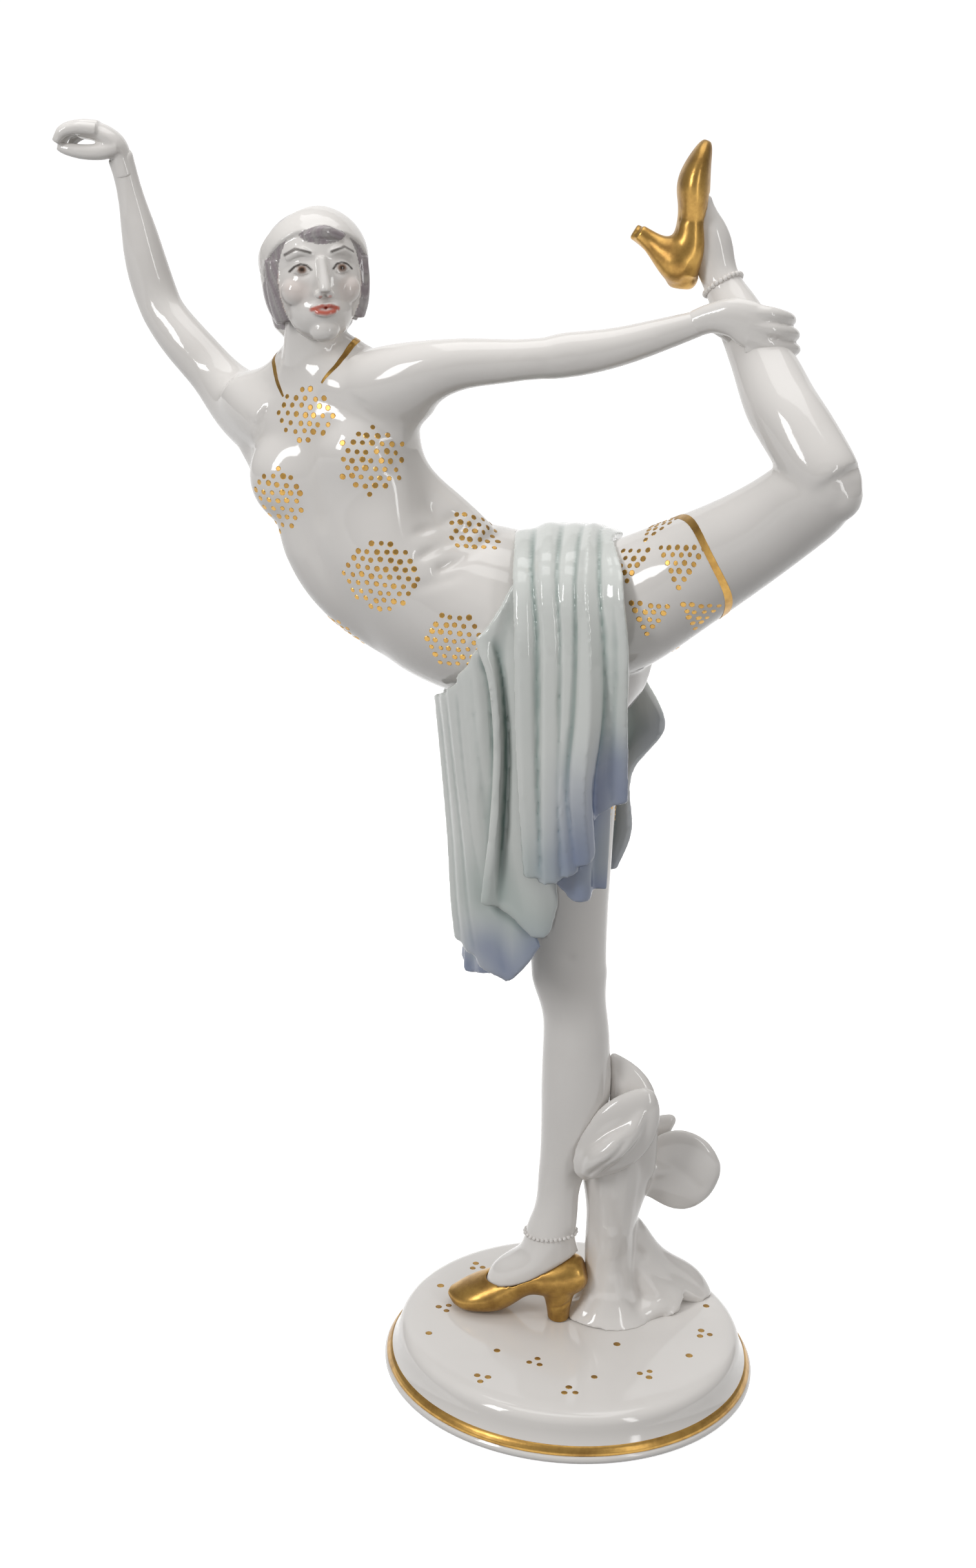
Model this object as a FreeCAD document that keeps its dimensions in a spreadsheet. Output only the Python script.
"""Glazed porcelain figurine: a dancer on one leg, on a round plinth with a leafy stump.

Frame: origin at the centre of the plinth's foot ring, +Z up, the dancer faces -X and her
left side is towards -Y. Lengths are millimetres.
The piece is made the way a mould-maker divides it: each casting is a solid of its own, and
the castings meet face to face where they are luted together.
"""
import FreeCAD, Part
import math
import os
import Sketcher

Vector = FreeCAD.Vector

# Pose points lie on a grid of this many steps to the stature, measured from the plinth's top.
GRID = 300

DIMENSIONS = [
    ("stature", 300, "plinth top to the raised toe"),
    ("foot_radius", 48, "plinth at its foot ring"),
    ("rim_radius", 44.6, "plinth at its upper edge, before rounding"),
    ("plinth_height", 11, "foot ring to the plinth's top"),
    ("rim_round", 2.4, "rounding of the upper edge"),
    ("foot_lip", 1.4, "height of the plain lip under the gold line"),
    ("foot_width", 4.5, "width of the unglazed foot ring"),
    ("plinth_wall", 4, "thickness of the plinth's casting"),
    ("leg_girth", 20, "thickness the legs are drawn from"),
    ("arm_girth", 10, "thickness the arms are drawn from"),
    ("torso_girth", 40, "thickness the trunk of the body is drawn from"),
    ("head_width", 24, "width of the head over the band"),
    ("shoe_width", 15, "width of a shoe at the ball"),
    ("stump_girth", 16, "thickness of the stump behind the leg"),
    ("leaf_width", 18, "width of a leaf"),
    ("anklet_bead", 1.1, "radius of an anklet's beading"),
    ("skirt_front_stand", 4, "front pleats, beyond the thickness of the legs"),
    ("skirt_side_stand", 7, "side pleats, beyond the thickness of the legs"),
    ("pleat_depth", 1.3, "height of a pleat"),
    ("seat_gap", 0.3, "skirt lining to the thigh inside it"),
]

doc = FreeCAD.newDocument("dancer")
sheet = doc.addObject("Spreadsheet::Sheet", "dims")
for row, (alias, value, note) in enumerate(DIMENSIONS, start=1):
    sheet.set("A%d" % row, alias)
    sheet.set("B%d" % row, str(value))
    sheet.set("C%d" % row, note)
    sheet.setAlias("B%d" % row, alias)
doc.recompute()


def size(alias):
    """The sheet's present value of one named dimension."""
    return float(sheet.get(alias))


def origin_plane(body, role):
    """One of a body's own origin planes, found by its role."""
    for feature in body.Origin.OriginFeatures:
        if feature.Role == role:
            return feature


def station(x, y, z, wide, deep, axis=None, normal=None):
    """One cross-section: grid point, half width and half depth as parts of the girth."""
    return {"at": Vector(x, y, z), "wide": wide, "deep": deep, "axis": axis, "normal": normal}


def turned(stations, axis):
    """Gives every station its turn: the normal follows the run, the width lies along axis."""
    for i, here in enumerate(stations):
        before = stations[max(i - 1, 0)]["at"]
        after = stations[min(i + 1, len(stations) - 1)]["at"]
        normal = Vector(*here["normal"]) if here["normal"] else after - before
        normal.normalize()
        across = Vector(*(here["axis"] or axis))
        across = across - normal * across.dot(normal)
        across.normalize()
        here["turn"] = FreeCAD.Rotation(across, normal.cross(across), normal, "ZXY")
    return stations


def add_loft(body, name, stations, girth, start):
    """Lofts a run of ellipses into a body; each ellipse is a sketch of its own."""
    sketches = []
    for i, here in enumerate(stations):
        sketch = body.newObject("Sketcher::SketchObject", "%s_%s_%02d" % (body.Name, name, i))
        sketch.AttachmentSupport = [(origin_plane(body, "XY_Plane"), "")]
        sketch.MapMode = "FlatFace"
        sketch.AttachmentOffset = FreeCAD.Placement(here["at"] - start, here["turn"])
        for letter in "xyz":
            steps = getattr(here["at"] - start, letter)
            sketch.setExpression("AttachmentOffset.Base.%s" % letter,
                                 "dims.stature / %d * (%.6g)" % (GRID, steps))
        wide = here["wide"] * size(girth)
        deep = here["deep"] * size(girth)
        sketch.addGeometry(Part.Ellipse(Vector(wide, 0, 0), Vector(0, deep, 0), Vector(0, 0, 0)))
        sketch.exposeInternalGeometry(0)
        sketch.addConstraint(Sketcher.Constraint("Coincident", 0, 3, -1, 1))
        sketch.addConstraint(Sketcher.Constraint("Horizontal", 1))
        for line, label, part in ((1, "wide", here["wide"]), (2, "deep", here["deep"])):
            index = sketch.addConstraint(
                Sketcher.Constraint("Distance", line, 1, line, 2, 2 * part * size(girth)))
            sketch.renameConstraint(index, label)
            sketch.setExpression("Constraints.%s" % label, "dims.%s * %.6g" % (girth, 2 * part))
        sketches.append(sketch)
    doc.recompute()
    loft = body.newObject("PartDesign::AdditiveLoft", "%s_%s" % (body.Name, name))
    loft.Profile = sketches[0]
    loft.Sections = sketches[1:]
    loft.Ruled = False
    body.Tip = loft
    doc.recompute()


def casting(name, label, stations, girth, more=None):
    """A body lofted through its stations; more is a second run fused to the first."""
    body = doc.addObject("PartDesign::Body", name)
    body.Label = label
    start = stations[0]["at"]
    body.setExpression("Placement.Base.x", "dims.stature / %d * (%.6g)" % (GRID, start.x))
    body.setExpression("Placement.Base.y", "dims.stature / %d * (%.6g)" % (GRID, start.y))
    body.setExpression("Placement.Base.z",
                       "dims.plinth_height + dims.stature / %d * (%.6g)" % (GRID, start.z))
    doc.recompute()
    add_loft(body, "run", stations, girth, start)
    if more:
        add_loft(body, "more", more, girth, start)
    return body


def trimmed(name, label, base, tools):
    """The casting with its neighbours cut away, so that they meet face to face."""
    for i, tool in enumerate(tools):
        cut = doc.addObject("Part::Cut", name if i == len(tools) - 1 else "%s_cut%d" % (name, i))
        cut.Base = base
        cut.Tool = tool
        base = cut
        doc.recompute()
    base.Label = label
    return base


# ---------------------------------------------------------------- plinth

plinth_body = doc.addObject("PartDesign::Body", "plinth_body")
profile = plinth_body.newObject("Sketcher::SketchObject", "plinth_profile")
profile.AttachmentSupport = [(origin_plane(plinth_body, "XZ_Plane"), "")]
profile.MapMode = "FlatFace"
corners = [
    ("dims.foot_radius - dims.foot_width", "0"),
    ("dims.foot_radius", "0"),
    ("dims.foot_radius", "dims.foot_lip"),
    ("dims.foot_radius - 0.9", "dims.foot_lip + 0.5"),
    ("dims.rim_radius + 0.5", "dims.plinth_height - dims.rim_round - 1.5"),
    ("dims.rim_radius", "dims.plinth_height"),
    ("0", "dims.plinth_height"),
    ("0", "dims.plinth_height - dims.plinth_wall"),
    ("dims.rim_radius - dims.plinth_wall - 2", "dims.plinth_height - dims.plinth_wall"),
]
rough = [
    (size("foot_radius") - size("foot_width"), 0),
    (size("foot_radius"), 0),
    (size("foot_radius"), size("foot_lip")),
    (size("foot_radius") - 0.9, size("foot_lip") + 0.5),
    (size("rim_radius") + 0.5, size("plinth_height") - size("rim_round") - 1.5),
    (size("rim_radius"), size("plinth_height")),
    (0, size("plinth_height")),
    (0, size("plinth_height") - size("plinth_wall")),
    (size("rim_radius") - size("plinth_wall") - 2, size("plinth_height") - size("plinth_wall")),
]
for i in range(len(rough)):
    here = Vector(rough[i][0], rough[i][1], 0)
    there = Vector(rough[(i + 1) % len(rough)][0], rough[(i + 1) % len(rough)][1], 0)
    profile.addGeometry(Part.LineSegment(here, there))
for i in range(len(rough)):
    profile.addConstraint(Sketcher.Constraint("Coincident", i, 2, (i + 1) % len(rough), 1))
for i, (across, up) in enumerate(corners):
    for kind, expression, value in (("DistanceX", across, rough[i][0]), ("DistanceY", up, rough[i][1])):
        if expression == "0":
            on_axis = (-2, i) if kind == "DistanceX" else (-1, i)
            profile.addConstraint(Sketcher.Constraint("PointOnObject", on_axis[1], 1, on_axis[0]))
        else:
            index = profile.addConstraint(Sketcher.Constraint(kind, -1, 1, i, 1, value))
            profile.renameConstraint(index, "%s_%d" % (kind, i))
            profile.setExpression("Constraints.%s_%d" % (kind, i), expression)
doc.recompute()
turn = plinth_body.newObject("PartDesign::Revolution", "plinth_turn")
turn.Profile = profile
turn.ReferenceAxis = (profile, ["V_Axis"])
turn.Angle = 360
plinth_body.Tip = turn
doc.recompute()
rim_edges = []
for i, edge in enumerate(turn.Shape.Edges, start=1):
    box = edge.BoundBox
    if abs(box.ZMin - size("plinth_height")) < 1e-6 and abs(box.ZMax - size("plinth_height")) < 1e-6:
        if box.XLength > size("rim_radius"):
            rim_edges.append("Edge%d" % i)
rounding = plinth_body.newObject("PartDesign::Fillet", "plinth_rim")
rounding.Base = (turn, rim_edges)
rounding.setExpression("Radius", "dims.rim_round")
plinth_body.Tip = rounding
plinth_body.Label = "plinth"
doc.recompute()

# ---------------------------------------------------------------- standing leg

standing = turned([
    station(-12.5, 3.6, 10.5, .58, .26, normal=(-.36, 0, .93)),
    station(-10.4, 3.3, 14.2, .64, .31, normal=(-.36, 0, .93)),
    station(-8.0, 3.0, 18.6, .45, .29, normal=(-.22, 0, .97)),
    station(-6.5, 2.8, 22.5, .335, .275, normal=(-.1, 0, 1)),
    station(-5.9, 2.7, 26, .315, .265),
    station(-5.2, 2.7, 30, .29, .26),
    station(-4.9, 2.7, 35, .275, .255),
    station(-3.8, 2.7, 44.3, .32, .30),
    station(-2.6, 2.7, 53.5, .385, .36),
    station(-1.9, 2.7, 62.6, .435, .40),
    station(-2.0, 2.7, 71.6, .44, .405),
    station(-2.5, 2.7, 80.5, .42, .385),
    station(-3.4, 2.8, 87.5, .41, .38),
    station(-4.4, 3.0, 92.7, .445, .40),
    station(-5.3, 3.2, 98.5, .472, .42),
    station(-6, 3.6, 107, .49, .45),
    station(-7, 4.2, 121, .54, .50),
    station(-8.5, 5, 139, .63, .58),
    station(-10, 6, 157, .72, .68),
    station(-11.5, 7, 171, .80, .74),
], (1, 0, 0))
KNEE = 14
lower_leg = casting("lower_leg", "standing_lower_leg", standing[:KNEE + 1], "leg_girth")
thigh = casting("thigh", "standing_thigh_core", standing[KNEE:], "leg_girth")

shoe_run = turned([
    station(3.2, 1.6, 14.5, .16, .15),
    station(1.8, 1.6, 14, .31, .30),
    station(-1.5, 1.8, 12.4, .38, .37),
    station(-6, 2.2, 11.5, .39, .36),
    station(-11, 2.8, 10.8, .37, .32),
    station(-15.5, 3.6, 8.2, .42, .32),
    station(-20, 4.3, 5.3, .48, .34),
    station(-24, 4.8, 4, .50, .29),
    station(-28, 5.2, 3, .42, .22),
    station(-31, 5.6, 3, .24, .11),
    station(-32.3, 5.8, 3.2, .10, .05),
], (0, 1, 0))
shoe_heel = turned([
    station(-3.4, 1.6, 9.5, .35, .34, normal=(0, 0, -1)),
    station(-3.2, 1.3, 4, .24, .22, normal=(0, 0, -1)),
    station(-3, 1.1, 0, .20, .19, normal=(0, 0, -1)),
], (0, 1, 0))
shoe_body = casting("shoe_body", "standing_shoe_core", shoe_run, "shoe_width", shoe_heel)
standing_shoe = trimmed("standing_shoe", "standing_shoe", shoe_body, [lower_leg, plinth_body])

# ---------------------------------------------------------------- body

body_run = turned([
    station(10, 0, 177, .15, .14),
    station(6, 0, 178, .37, .35),
    station(-2, 0, 180.5, .51, .48),
    station(-14, -.5, 184.5, .58, .54),
    station(-28, -1, 188.5, .59, .53),
    station(-41, -1.5, 192.5, .56, .49),
    station(-52, -2, 200.5, .53, .45),
    station(-58.5, -2, 208, .51, .45),
    station(-62.5, -2, 217, .485, .475),
    station(-65, -1.5, 226.5, .50, .49),
    station(-67, -1, 235.5, .475, .465),
    station(-68.5, -1.5, 241.5, .39, .38),
    station(-70, -2, 245.5, .27, .26),
    station(-71, -2.5, 248.5, .18, .175),
    station(-71, -3, 251.5, .17, .165),
    station(-70.8, -3.5, 255, .165, .16),
], (0, 1, 0))
WAIST = 6
pelvis = casting("pelvis", "pelvis", body_run[:WAIST + 1], "torso_girth")
torso = casting("torso", "torso", body_run[WAIST:], "torso_girth")
standing_thigh = trimmed("standing_thigh", "standing_thigh", thigh, [pelvis])

FACING = (-.5, -.86, 0)
head_run = turned([
    station(-72, -7, 250.8, .20, .18),
    station(-71.8, -6.5, 253, .34, .30),
    station(-71.3, -5.5, 257.5, .47, .42),
    station(-70.8, -4.8, 263, .565, .49),
    station(-70.4, -4.4, 268.5, .59, .505),
    station(-70.2, -4.2, 273, .545, .47),
    station(-70.2, -4.2, 276.5, .41, .36),
    station(-70.3, -4.3, 278.7, .21, .18),
    station(-70.3, -4.3, 279.3, .08, .07),
], FACING)
head_body = casting("head_body", "head_core", head_run, "head_width")
head = trimmed("head", "head", head_body, [torso])

# ---------------------------------------------------------------- raised leg

raised = turned([
    station(-10, -5, 187.5, .76, .74),
    station(-3, -9.5, 191, .76, .73),
    station(4, -13.5, 195.5, .74, .70),
    station(12, -17, 201.2, .68, .65),
    station(20, -20.5, 207, .615, .59),
    station(28.2, -26, 213.6, .55, .53),
    station(37.3, -31, 221.6, .50, .48),
    station(43.5, -35, 228, .46, .44),
    station(47.3, -37.6, 232, .34, .32),
    station(48.9, -38.8, 234, .16, .15),
], (0, 0, 1))
raised_thigh_body = casting("raised_thigh_body", "raised_thigh_core", raised, "leg_girth")
raised_thigh = trimmed("raised_thigh", "raised_thigh", raised_thigh_body, [pelvis, thigh])

shin = turned([
    station(45.5, -38, 229.5, .36, .34),
    station(42.5, -36, 233.3, .39, .37),
    station(40, -33.5, 236.6, .40, .385),
    station(36.6, -30, 241.2, .40, .385),
    station(33.4, -25.5, 245.9, .39, .375),
    station(30.6, -20.5, 251.3, .355, .345),
    station(27.6, -16.5, 256.4, .31, .30),
    station(23.6, -12.5, 263, .26, .25),
    station(20.4, -9.8, 268.2, .215, .205),
    station(18.2, -9, 273.5, .235, .19),
    station(16.2, -9, 280, .21, .17),
    station(14.6, -9, 286.5, .13, .12),
], (.86, 0, .5))
shin_body = casting("shin_body", "raised_lower_leg_core", shin, "leg_girth")
raised_lower_leg = trimmed("raised_lower_leg", "raised_lower_leg", shin_body, [raised_thigh_body])

pointed_run = turned([
    station(11.2, -9, 266.2, .16, .15),
    station(11.3, -9, 268.5, .30, .26),
    station(11.8, -9, 273, .36, .27),
    station(12.6, -9, 279, .38, .22),
    station(12.9, -9, 285, .45, .23),
    station(12.8, -9, 289.5, .47, .24),
    station(13.6, -9, 293.5, .40, .185),
    station(14.7, -9, 297, .22, .11),
    station(15.1, -9, 298.3, .08, .05),
], (0, 1, 0))
pointed_heel = turned([
    station(10, -9, 272.5, .28, .26),
    station(5.5, -9, 275.3, .19, .18),
    station(2, -9, 277.4, .15, .13),
    station(.2, -9, 278.4, .14, .12),
], (0, 1, 0))
pointed_body = casting("pointed_body", "raised_shoe_core", pointed_run, "shoe_width", pointed_heel)
raised_shoe = trimmed("raised_shoe", "raised_shoe", pointed_body, [shin_body])

# ---------------------------------------------------------------- arms

left_arm = turned([
    station(-60, -6, 238, .70, .66),
    station(-51, -12, 243, .92, .88),
    station(-44.9, -14.5, 245.6, .80, .76),
    station(-38.2, -16.5, 248, .64, .61),
    station(-31.1, -17.5, 249.2, .54, .52),
    station(-23.9, -19, 250.2, .47, .45),
    station(-16.8, -19, 251, .47, .45),
    station(-9.8, -19, 252.4, .49, .46),
    station(-2.4, -19, 254, .44, .42),
    station(4.5, -19.3, 256.2, .39, .37),
    station(11.4, -19.8, 258.7, .33, .31),
    station(16.9, -20.3, 260.7, .29, .26),
    station(22, -22, 261, .42, .22),
    station(27, -23.4, 260, .46, .20),
    station(32, -22.6, 259.4, .46, .19),
    station(35.6, -19.5, 259.2, .43, .17),
    station(36.8, -15.5, 259.2, .34, .15),
], (0, 0, 1))
LEFT_ELBOW, LEFT_WRIST = 6, 11
left_upper_body = casting("left_upper_body", "left_upper_arm_core", left_arm[:LEFT_ELBOW + 1], "arm_girth")
left_upper_arm = trimmed("left_upper_arm", "left_upper_arm", left_upper_body, [torso])
left_forearm = casting("left_forearm", "left_forearm", left_arm[LEFT_ELBOW:LEFT_WRIST + 1], "arm_girth")
left_hand_body = casting("left_hand_body", "left_hand_core", left_arm[LEFT_WRIST:], "arm_girth")
left_hand = trimmed("left_hand", "left_hand", left_hand_body, [shin_body])

right_arm = turned([
    station(-78, 5, 232, 1.12, 1.02),
    station(-85, 10.5, 231, 1.0, .95),
    station(-92, 14.5, 234, .80, .76),
    station(-98, 18, 239.2, .63, .60),
    station(-103, 19.8, 243.8, .58, .55),
    station(-108, 22, 248.6, .55, .52),
    station(-111.6, 23.8, 253, .52, .50),
    station(-114, 24.8, 258.5, .52, .49),
    station(-116, 25, 265.1, .49, .47),
    station(-117.6, 24.8, 272.2, .41, .39),
    station(-118.9, 24.4, 278.1, .33, .31),
    station(-120.3, 24, 284, .30, .28),
    station(-121.6, 23.4, 288.5, .33, .27),
    station(-123.8, 22.9, 291.6, .42, .27, (.8, 0, .6)),
    station(-127.5, 22.5, 292.6, .43, .28, (.2, 0, 1)),
    station(-131.5, 22.2, 292, .36, .24, (0, 0, 1)),
    station(-135, 22, 291.2, .24, .18, (0, 0, 1)),
    station(-137.2, 22, 290.8, .12, .10, (0, 0, 1)),
], (1, 0, .7))
RIGHT_ELBOW, RIGHT_WRIST = 6, 12
right_upper_body = casting("right_upper_body", "right_upper_arm_core",
                           right_arm[:RIGHT_ELBOW + 1], "arm_girth")
right_upper_arm = trimmed("right_upper_arm", "right_upper_arm", right_upper_body, [torso])
right_forearm = casting("right_forearm", "right_forearm",
                        right_arm[RIGHT_ELBOW:RIGHT_WRIST + 1], "arm_girth")
right_hand = casting("right_hand", "right_hand", right_arm[RIGHT_WRIST:], "arm_girth")

# ---------------------------------------------------------------- stump and leaves

stump_run = turned([
    station(10.5, 6, 0, .66, .50, normal=(0, 0, 1)),
    station(10, 6, 4, .47, .40),
    station(9.5, 6, 12, .40, .36),
    station(9.3, 6, 25, .41, .38),
    station(9.8, 6, 35, .50, .42),
    station(10, 6, 43, .57, .46),
    station(10, 6, 46, .50, .40),
], (1, 0, 0))
stump_body = casting("stump_body", "stump_core", stump_run, "stump_girth")
stump = trimmed("stump", "stump", stump_body, [lower_leg, shoe_body])

root_run = turned([
    station(31, 18.5, 0, .42, .32, normal=(0, 0, 1)),
    station(29, 17.5, 4, .34, .27),
    station(24, 14.5, 9.5, .28, .24),
    station(18, 10.5, 17, .26, .23),
    station(13, 8, 25, .24, .20),
], (1, 0, .6))
root_body = casting("root_body", "root_core", root_run, "stump_girth")
root = trimmed("root", "root", root_body, [stump_body])

front_leaf = turned([
    station(.5, -5, 44.5, .10, .08),
    station(4, -5, 49.5, .34, .13),
    station(8.8, -4, 55, .46, .16),
    station(12.8, -3.4, 61, .42, .15),
    station(15.6, -2.6, 66, .25, .11),
    station(16.6, -2.3, 68.6, .08, .05),
], (.75, 0, -.6))
leaf_front_body = casting("leaf_front_body", "leaf_front_core", front_leaf, "leaf_width")
leaf_front = trimmed("leaf_front", "leaf_front", leaf_front_body, [lower_leg, stump_body])

side_leaf = turned([
    station(12, 7.5, 38.5, .28, .18),
    station(19, 8.4, 40, .46, .13),
    station(26, 8.6, 41.2, .64, .13),
    station(32, 8.6, 42, .52, .12),
    station(35.6, 8.6, 42.4, .26, .09),
    station(36.8, 8.6, 42.5, .08, .05),
], (-.1, 0, 1))
leaf_side_body = casting("leaf_side_body", "leaf_side_core", side_leaf, "leaf_width")
leaf_side = trimmed("leaf_side", "leaf_side", leaf_side_body, [stump_body])

upper_leaf = turned([
    station(12.5, 3.2, 42, .36, .15),
    station(13.5, 2.8, 50, .36, .15),
    station(13.5, 2.8, 57, .35, .15),
    station(12, 3.6, 65, .33, .13),
    station(8.5, 4.6, 71, .20, .10),
    station(6.3, 5, 74.2, .07, .05),
], (1, 0, .3))
leaf_upper_body = casting("leaf_upper_body", "leaf_upper_core", upper_leaf, "leaf_width")
leaf_upper = trimmed("leaf_upper", "leaf_upper", leaf_upper_body,
                     [lower_leg, stump_body, leaf_front_body])

rear_leaf = turned([
    station(13, 11, 43, .22, .12),
    station(18.5, 13, 49, .22, .11),
    station(22.5, 13.4, 52.5, .13, .09),
    station(24.3, 13.4, 54, .05, .04),
], (.7, 0, -.7))
leaf_rear_body = casting("leaf_rear_body", "leaf_rear_core", rear_leaf, "leaf_width")
leaf_rear = trimmed("leaf_rear", "leaf_rear", leaf_rear_body, [stump_body, leaf_side_body])

# ---------------------------------------------------------------- anklets


def anklet(name, x, y, z, axis, reach, tools):
    """A ring of beading laid round an ankle and cut to sit on the skin."""
    ring = doc.addObject("Part::Torus", name + "_ring")
    ring.setExpression("Radius1", "dims.leg_girth * %.6g" % reach)
    ring.setExpression("Radius2", "dims.anklet_bead")
    turn_to = FreeCAD.Rotation(Vector(0, 0, 1), Vector(*axis))
    ring.Placement = FreeCAD.Placement(Vector(0, 0, 0), turn_to)
    ring.setExpression("Placement.Base.x", "dims.stature / %d * (%.6g)" % (GRID, x))
    ring.setExpression("Placement.Base.y", "dims.stature / %d * (%.6g)" % (GRID, y))
    ring.setExpression("Placement.Base.z",
                       "dims.plinth_height + dims.stature / %d * (%.6g)" % (GRID, z))
    doc.recompute()
    return trimmed(name, name, ring, tools)


standing_anklet = anklet("standing_anklet", -6.2, 2.6, 24.3, (-.09, .02, 1), .295, [lower_leg])
raised_anklet = anklet("raised_anklet", 20.6, -9.9, 267.8, (-.5, .35, .8), .215,
                       [shin_body, pointed_body])

# ---------------------------------------------------------------- skirt


def thigh_outline(z):
    """The standing thigh's middle and half widths at a grid height, from its own stations."""
    run = standing[KNEE:]
    for lower, upper in zip(run, run[1:]):
        if z <= upper["at"].z or upper is run[-1]:
            share = (z - lower["at"].z) / (upper["at"].z - lower["at"].z)
            middle = lower["at"] + (upper["at"] - lower["at"]) * share
            wide = lower["wide"] + (upper["wide"] - lower["wide"]) * share
            deep = lower["deep"] + (upper["deep"] - lower["deep"]) * share
            return middle, wide * size("leg_girth"), deep * size("leg_girth")


def pleated_section(level, first, last, pleats):
    """A closed horizontal outline: pleats outside, the thigh's own curve inside."""
    z, reach, depth = level
    step = size("stature") / GRID
    height = size("plinth_height") + z * step
    middle = Vector(-12 * step, 0, height)
    axis, wide, deep = thigh_outline(z)
    axis = Vector(axis.x * step, axis.y * step, height)
    outer = []
    count = 8 * pleats
    for i in range(count + 1):
        angle = math.radians(first + (last - first) * i / count)
        wave = size("pleat_depth") * math.cos(2 * math.pi * pleats * i / count)
        out = Vector((size("leg_girth") + size("skirt_front_stand")) * reach * math.cos(angle),
                     (size("leg_girth") + size("skirt_side_stand")) * depth * math.sin(angle), 0)
        outer.append(middle + out * (1 - (size("pleat_depth") - wave) * .5 / out.Length))
    inner = []
    for i in range(9):
        angle = math.radians(last + (first - last) * i / 8)
        inner.append(axis + Vector((wide + size("seat_gap")) * math.cos(angle),
                                   (deep + size("seat_gap")) * math.sin(angle), 0))
    outside = Part.BSplineCurve()
    outside.interpolate(outer)
    inside = Part.BSplineCurve()
    inside.interpolate(inner)
    return Part.Wire([
        outside.toShape(),
        Part.LineSegment(outer[-1], inner[0]).toShape(),
        inside.toShape(),
        Part.LineSegment(inner[-1], outer[0]).toShape(),
    ])


def skirt_panel(name, first, last, pleats, levels, tools):
    """One pleated panel of the skirt, from its seat on the hips down to its hem."""
    panel = doc.addObject("Part::Feature", name + "_cloth")
    sections = [pleated_section(level, first, last, pleats) for level in levels]
    panel.Shape = Part.makeLoft(sections, True, False)
    panel.Placement = FreeCAD.Placement()
    doc.recompute()
    return trimmed(name, name, panel, tools)


skirt_front = skirt_panel("skirt_front", 150, 212, 5, [
    (172, .98, .88),
    (164, 1.08, .92),
    (147, 1.02, .92),
    (130, .96, .90),
    (113, .93, .86),
    (97, .93, .84),
], [pelvis])
skirt_middle = skirt_panel("skirt_middle", 212, 250, 3, [
    (176, .96, .93),
    (164, 1.02, .96),
    (147, .98, .94),
    (130, .95, .90),
    (119, .93, .88),
], [pelvis])
skirt_near = skirt_panel("skirt_near", 250, 316, 3, [
    (190, .90, .90),
    (178, 1.0, 1.0),
    (160, 1.0, 1.0),
    (147, .97, .98),
    (136, .94, .96),
], [pelvis, raised_thigh_body])
skirt_far = skirt_panel("skirt_far", 22, 72, 3, [
    (168, 1.04, .88),
    (160, 1.16, .91),
    (152, 1.16, .91),
    (145, 1.05, .86),
    (133, .98, .78),
    (121, .88, .70),
], [pelvis])
skirt_back = skirt_panel("skirt_back", 74, 146, 5, [
    (168, 1.0, .88),
    (160, 1.06, .91),
    (147, 1.02, .91),
    (130, .96, .86),
    (117, .93, .82),
], [pelvis])

# ---------------------------------------------------------------- checks and files

NODES = {
    "plinth": plinth_body,
    "stump": stump,
    "root": root,
    "leaf_front": leaf_front,
    "leaf_upper": leaf_upper,
    "leaf_rear": leaf_rear,
    "leaf_side": leaf_side,
    "standing_shoe": standing_shoe,
    "standing_anklet": standing_anklet,
    "standing_lower_leg": lower_leg,
    "standing_thigh": standing_thigh,
    "pelvis": pelvis,
    "torso": torso,
    "head": head,
    "left_upper_arm": left_upper_arm,
    "left_forearm": left_forearm,
    "left_hand": left_hand,
    "right_upper_arm": right_upper_arm,
    "right_forearm": right_forearm,
    "right_hand": right_hand,
    "raised_thigh": raised_thigh,
    "raised_lower_leg": raised_lower_leg,
    "raised_shoe": raised_shoe,
    "raised_anklet": raised_anklet,
    "skirt_front": skirt_front,
    "skirt_middle": skirt_middle,
    "skirt_near": skirt_near,
    "skirt_far": skirt_far,
    "skirt_back": skirt_back,
}

doc.recompute()
for item in doc.Objects:
    if "Invalid" in item.State or "Error" in item.State:
        raise RuntimeError("%s failed: %s" % (item.Name, item.State))
for name, item in NODES.items():
    shape = item.Shape
    if shape.isNull() or not shape.isValid() or not shape.Solids:
        raise RuntimeError("%s has no valid solid" % name)
    print("%-20s solids %d volume %9.1f" % (name, len(shape.Solids), shape.Volume))

os.makedirs("parts", exist_ok=True)
for name, item in NODES.items():
    item.Shape.exportStep("parts/%s.step" % name)
